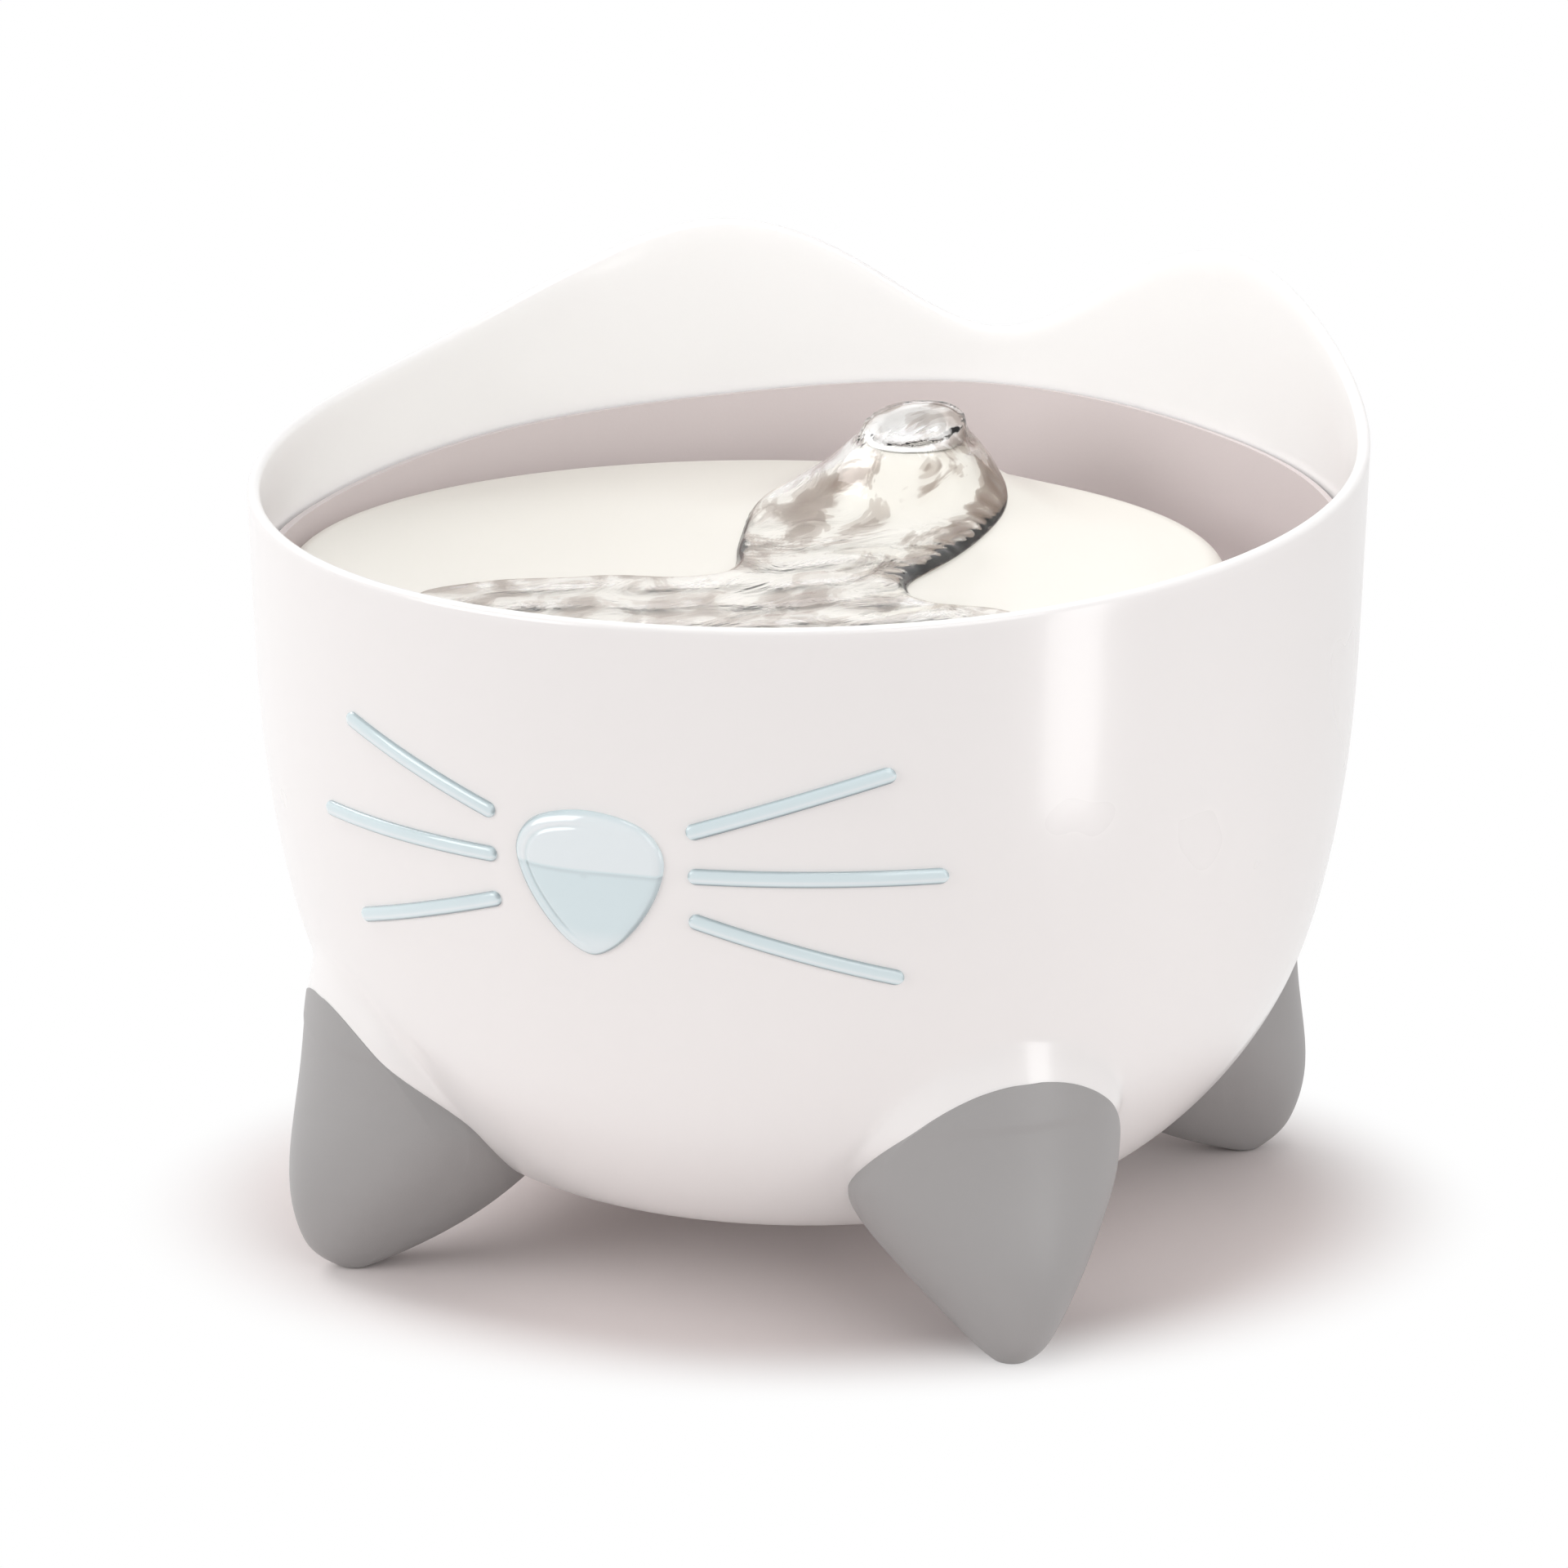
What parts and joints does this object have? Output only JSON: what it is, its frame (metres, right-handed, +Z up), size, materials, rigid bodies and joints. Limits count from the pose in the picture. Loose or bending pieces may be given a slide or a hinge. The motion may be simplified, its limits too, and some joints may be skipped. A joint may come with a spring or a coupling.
{
  "type": "pet water fountain",
  "caption": "Round pet water fountain: bowl reservoir with ear peaks on its rim, claw feet, lift-out drinking dish and a bubbling spout over a pump and filter.",
  "frame": {"origin": "on the ground under the middle of the bowl", "axes": "+Z up, the face with its nose and whiskers towards -Y, power inlet towards +Y"},
  "size_m": [0.209, 0.2092, 0.1746],
  "materials": {
    "body_white": "gloss",
    "foot_grey": "satin",
    "pad_rubber": "matte",
    "seal_rubber": "matte",
    "steel": "brushed",
    "face_blue": "gloss",
    "inlet_black": "satin",
    "brass": "polished",
    "lead_sheath": "satin",
    "pump_grey": "satin",
    "copper": "enamelled wire",
    "resin": "gloss",
    "ceramic": "matte",
    "ferrite": "matte",
    "wheel_white": "satin",
    "board_green": "satin",
    "lens_clear": "clear",
    "riser_clear": "gloss",
    "spout_white": "gloss",
    "dish_cream": "gloss",
    "tray_grey": "satin",
    "filter_white": "satin",
    "foam_blue": "open foam",
    "foam_black": "open foam",
    "carbon": "granules",
    "felt": "felt"
  },
  "bodies": {
    "bowl": {"reservoir_bowl": "body_white", "foot_front_left": "foot_grey", "foot_front_right": "foot_grey", "foot_rear_left": "foot_grey", "foot_rear_right": "foot_grey", "foot_pads": "pad_rubber", "foot_screws": "steel", "nose_window": "face_blue", "nose_gasket": "seal_rubber", "whisker_upper_left": "face_blue", "whisker_upper_right": "face_blue", "whisker_middle_left": "face_blue", "whisker_middle_right": "face_blue", "whisker_lower_left": "face_blue", "whisker_lower_right": "face_blue", "power_inlet": "inlet_black", "inlet_pin": "brass", "inlet_gasket": "seal_rubber", "inlet_nut": "inlet_black", "pump_lead": "lead_sheath", "lead_clip": "inlet_black", "pump_housing": "pump_grey", "pump_end_cap": "pump_grey", "suction_cups": "pad_rubber", "stator_core": "steel", "stator_coil": "copper", "potting_resin": "resin", "rear_bush": "ceramic", "impeller_shaft": "steel", "led_board": "board_green", "led_lens": "lens_clear", "riser_tube": "riser_clear"},
    "pump_cover": {"pump_cover": "pump_grey", "front_bush": "ceramic", "intake_foam": "foam_black"},
    "impeller": {"impeller_wheel": "wheel_white", "rotor_magnet": "ferrite"},
    "tray": {"upper_tray": "tray_grey"},
    "filter": {"filter_casing": "filter_white", "filter_lid": "filter_white", "filter_foam": "foam_blue", "filter_carbon": "carbon", "filter_felt": "felt"},
    "dish": {"drinking_dish": "dish_cream"},
    "nozzle": {"spout_nozzle": "spout_white", "nozzle_seal": "seal_rubber"}
  },
  "joints": [
    {"name": "tray_lift", "type": "slide", "parent": "bowl", "child": "tray", "axis": [0, 0, 1], "range_m": [0, 0.07]},
    {"name": "dish_lift", "type": "slide", "parent": "tray", "child": "dish", "axis": [0, 0, 1], "range_m": [0, 0.05]},
    {"name": "nozzle_pull", "type": "slide", "parent": "dish", "child": "nozzle", "axis": [0, 0, 1], "range_m": [0, 0.02]},
    {"name": "filter_drop", "type": "slide", "parent": "tray", "child": "filter", "axis": [0, 0, -1], "range_m": [0, 0.02]},
    {"name": "pump_cover_pull", "type": "slide", "parent": "bowl", "child": "pump_cover", "axis": [0, 1, 0], "range_m": [0, 0.006]},
    {"name": "impeller_spin", "type": "hinge", "parent": "bowl", "child": "impeller", "pos_m": [0, 0.04, 0.043], "axis": [0, 1, 0], "continuous": true}
  ]
}
